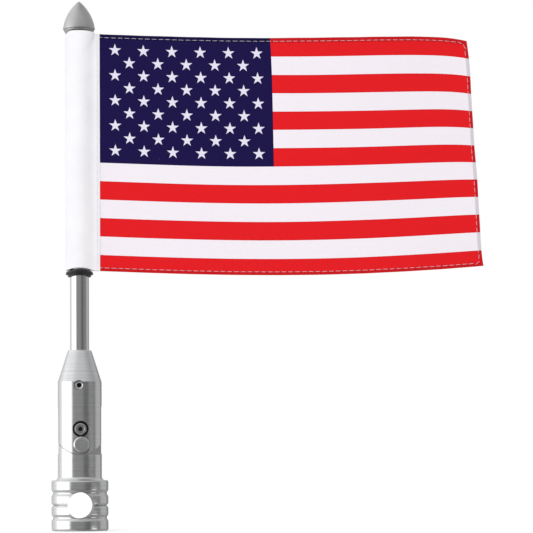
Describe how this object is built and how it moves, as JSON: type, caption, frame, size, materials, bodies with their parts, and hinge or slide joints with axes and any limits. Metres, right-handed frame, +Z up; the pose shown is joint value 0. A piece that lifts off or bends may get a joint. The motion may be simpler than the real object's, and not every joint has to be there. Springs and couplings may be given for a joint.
{
  "type": "folding rack flag mount with flag",
  "caption": "Small flag on a polished pole with a pointed finial, on a push-button folding knuckle and a split clamp for a round rail.",
  "frame": {"origin": "centre of the rail bore in the clamp", "axes": "+Z up the pole, +X towards the flag's fly and the side that the pole folds to, +Y along the rail bore, away from the lock button"},
  "size_m": [0.2732, 0.0356, 0.334],
  "materials": {
    "brushed_aluminium": "satin, fine turning marks",
    "polished_steel": "mirror polished",
    "screw_steel": "dull",
    "bushing_bronze": "plain",
    "black_rubber": "slightly glossy",
    "white_polyester": "plain woven",
    "printed_polyester": "plain woven, printed"
  },
  "bodies": {
    "clamp": {"lower_barrel": "brushed_aluminium", "clamp_cap": "brushed_aluminium", "clamp_screw_left": "screw_steel", "clamp_screw_right": "screw_steel", "pivot_bushing": "bushing_bronze"},
    "mast": {"upper_barrel": "brushed_aluminium", "pivot_screw": "screw_steel", "pole_set_screw": "screw_steel", "spring_plug": "brushed_aluminium", "lock_spring": "screw_steel", "pole": "polished_steel", "finial": "brushed_aluminium", "finial_stud": "screw_steel", "flag_stop_ring": "black_rubber"},
    "lock": {"lock_button": "brushed_aluminium", "lock_plunger": "screw_steel"},
    "flag": {"flag_sleeve": "white_polyester", "flag_panel": "printed_polyester"}
  },
  "joints": [
    {"name": "knuckle_fold", "type": "hinge", "parent": "clamp", "child": "mast", "pos_m": [0, 0, 0.0476], "axis": [0, 1, 0], "range_deg": [0, 90]},
    {"name": "lock_press", "type": "slide", "parent": "mast", "child": "lock", "axis": [0, 1, 0], "range_m": [0, 0.0033], "stiffness_N_per_m": 700, "springref_m": -0.002, "deforming": ["lock_spring"]},
    {"name": "flag_swing", "type": "hinge", "parent": "mast", "child": "flag", "pos_m": [0, 0, 0.148], "axis": [0, 0, 1], "continuous": true}
  ]
}
